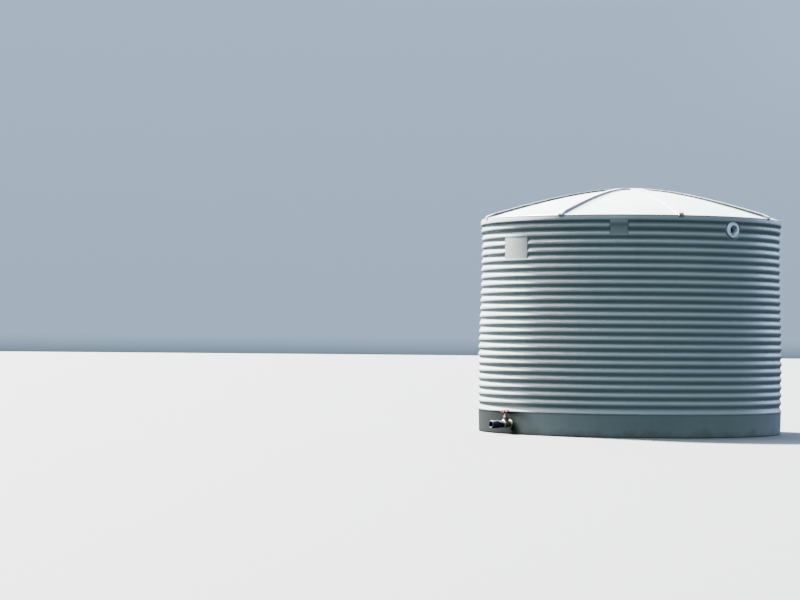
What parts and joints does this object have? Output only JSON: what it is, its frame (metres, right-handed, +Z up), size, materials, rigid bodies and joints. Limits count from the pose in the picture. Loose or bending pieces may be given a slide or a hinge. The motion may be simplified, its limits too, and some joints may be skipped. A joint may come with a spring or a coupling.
{
  "type": "corrugated polyethylene rainwater tank",
  "caption": "Round ridged plastic rainwater tank on the ground, with a low ribbed dome roof, an overflow high on the wall and a gate valve with pipe coupling at the base.",
  "frame": {"origin": "on the ground at the centre of the tank's floor, on the tank's axis", "axes": "+Z up along the tank's axis, +X out through the overflow, -Y out through the tap"},
  "size_m": [3.554, 3.8376, 2.87],
  "materials": {
    "polyethylene": "moulded pale grey-green polyethylene, satin, slightly mottled",
    "white_plastic": "white moulded PVC, a little weathered",
    "black_plastic": "black moulded polypropylene, satin",
    "dark_blue_plastic": "blue-black moulded polypropylene, satin",
    "bronze": "cast bronze, dulled brown",
    "bright_brass": "machined brass, bright edges",
    "red_paint": "red painted casting, edges worn",
    "steel": "zinc plated, dulled"
  },
  "bodies": {
    "root": {"wall_segment_1": "polyethylene", "wall_segment_2": "polyethylene", "wall_segment_3": "polyethylene", "wall_segment_4": "polyethylene", "wall_segment_5": "polyethylene", "wall_segment_6": "polyethylene", "wall_segment_7": "polyethylene", "wall_segment_8": "polyethylene", "tank_floor": "polyethylene", "roof_panel_1": "polyethylene", "roof_panel_2": "polyethylene", "roof_panel_3": "polyethylene", "roof_panel_4": "polyethylene", "roof_panel_5": "polyethylene", "roof_panel_6": "polyethylene", "roof_panel_7": "polyethylene", "roof_panel_8": "polyethylene", "roof_rib_1": "polyethylene", "roof_rib_2": "polyethylene", "roof_rib_3": "polyethylene", "roof_rib_4": "polyethylene", "roof_rib_5": "polyethylene", "roof_rib_6": "polyethylene", "roof_rib_7": "polyethylene", "roof_rib_8": "polyethylene", "roof_crown": "polyethylene", "overflow_flange": "white_plastic", "overflow_tube": "white_plastic", "overflow_backnut": "white_plastic", "outlet_flange": "black_plastic", "outlet_nipple": "bright_brass", "outlet_backnut": "black_plastic", "valve_inlet_ring": "bright_brass", "valve_body": "bronze", "valve_outlet_ring": "bright_brass", "valve_bonnet": "bronze", "valve_packing_nut": "bronze", "coupling_body": "black_plastic", "coupling_nut": "dark_blue_plastic"},
    "handwheel": {"valve_stem": "steel", "valve_handwheel": "red_paint", "valve_wheel_nut": "steel"}
  },
  "joints": [
    {"name": "handwheel_turn", "type": "hinge", "parent": "root", "child": "handwheel", "pos_m": [0, -1.83666, 0.118], "axis": [-0.2588, 0, 0.9659], "continuous": true}
  ]
}
